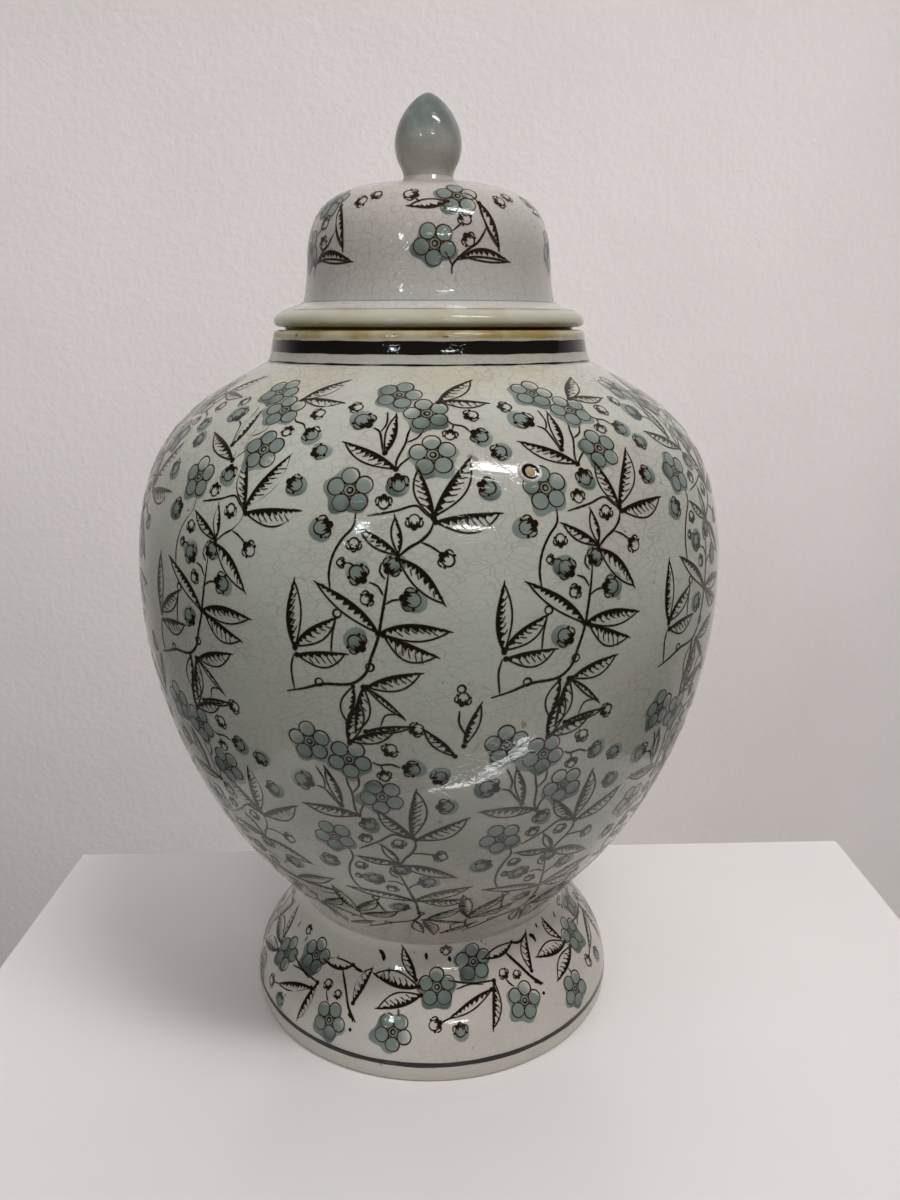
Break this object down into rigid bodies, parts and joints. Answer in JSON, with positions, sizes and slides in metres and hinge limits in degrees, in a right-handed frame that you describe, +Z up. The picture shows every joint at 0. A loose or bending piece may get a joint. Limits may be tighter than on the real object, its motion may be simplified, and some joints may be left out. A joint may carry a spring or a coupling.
{
  "type": "covered ginger jar",
  "caption": "Baluster jar on a spreading hollow foot, with a short banded neck and a loose domed lid topped by a bud finial; pale crackled glaze with dark floral outlines.",
  "frame": {"origin": "centre of the plane that the foot stands on, on the jar's axis of turning", "axes": "+Z up along the axis of turning, towards the finial; the jar is the same all round, and its decorated front faces -Y"},
  "size_m": [0.208, 0.208, 0.3308],
  "materials": {
    "body_glaze": "gloss",
    "neck_glaze": "gloss",
    "lid_glaze": "gloss",
    "finial_glaze": "gloss",
    "bare_clay": "matte"
  },
  "bodies": {
    "jar": {"pedestal_foot": "body_glaze", "vessel_belly": "body_glaze", "neck_collar": "neck_glaze"},
    "lid": {"lid_dome": "lid_glaze", "locating_ring": "bare_clay", "finial": "finial_glaze"}
  },
  "joints": [
    {"name": "lid_lift", "type": "slide", "parent": "jar", "child": "lid", "axis": [0, 0, 1], "range_m": [0, 0.09]}
  ]
}
